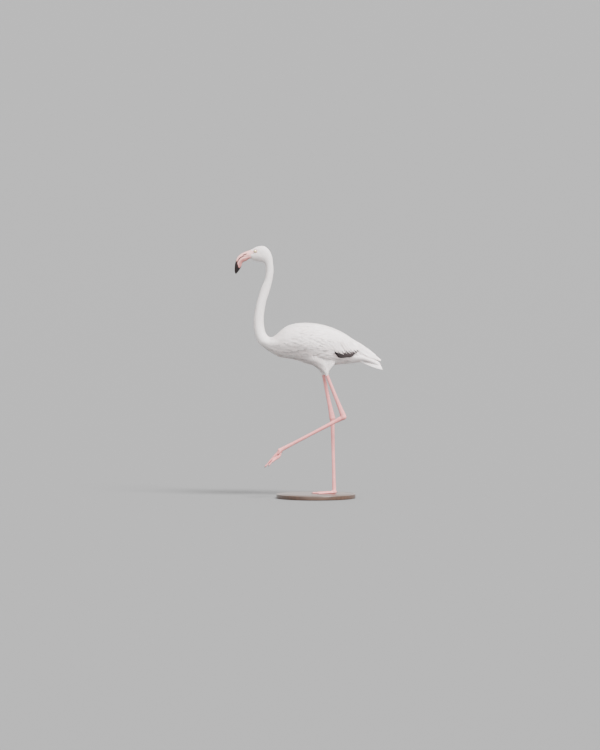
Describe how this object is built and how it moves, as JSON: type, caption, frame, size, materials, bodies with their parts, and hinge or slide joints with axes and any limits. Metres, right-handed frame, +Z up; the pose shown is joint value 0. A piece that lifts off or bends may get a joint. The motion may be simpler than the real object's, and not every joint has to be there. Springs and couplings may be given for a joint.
{
  "type": "greater flamingo",
  "caption": "Life-size walking flamingo with an S-shaped neck, bent black-tipped bill and folded wings, one leg planted and the other lifted forward, on a plain round display base.",
  "frame": {"origin": "centre of the display base's underside, on the floor", "axes": "+Z up; the bird faces -X, so its tail is towards +X, and its left side is -Y"},
  "size_m": [0.638, 0.34, 1.085],
  "materials": {
    "plumage": "soft overlapping feathers, almost white with a faint rose tint",
    "flight_feathers": "smooth dark vanes, slightly glossy",
    "leg_skin": "scaly bare skin, satin",
    "bill_pink": "smooth horn, satin gloss",
    "bill_black": "smooth black horn, satin gloss",
    "eye": "wet gloss",
    "claw": "dull horn",
    "stand_wood": "satin varnish"
  },
  "bodies": {
    "root": {"head": "plumage", "neck_upper": "plumage", "neck_middle": "plumage", "neck_lower": "plumage", "neck_base": "plumage", "trunk": "plumage", "tail": "plumage", "wing_left": "plumage", "wing_right": "plumage", "thigh_left": "plumage", "thigh_right": "plumage", "flight_feathers_left": "flight_feathers", "flight_feathers_right": "flight_feathers", "shin_left": "leg_skin", "shin_right": "leg_skin", "tarsus_left": "leg_skin", "tarsus_right": "leg_skin", "foot_left": "leg_skin", "foot_right": "leg_skin", "bill_upper": "bill_pink", "bill_lower": "bill_pink", "bill_upper_tip": "bill_black", "bill_lower_tip": "bill_black", "eye_left": "eye", "eye_right": "eye", "claw_left_outer": "claw", "claw_left_middle": "claw", "claw_left_inner": "claw", "claw_left_hind": "claw", "claw_right_outer": "claw", "claw_right_middle": "claw", "claw_right_inner": "claw", "claw_right_hind": "claw", "stand_base": "stand_wood"}
  },
  "joints": []
}
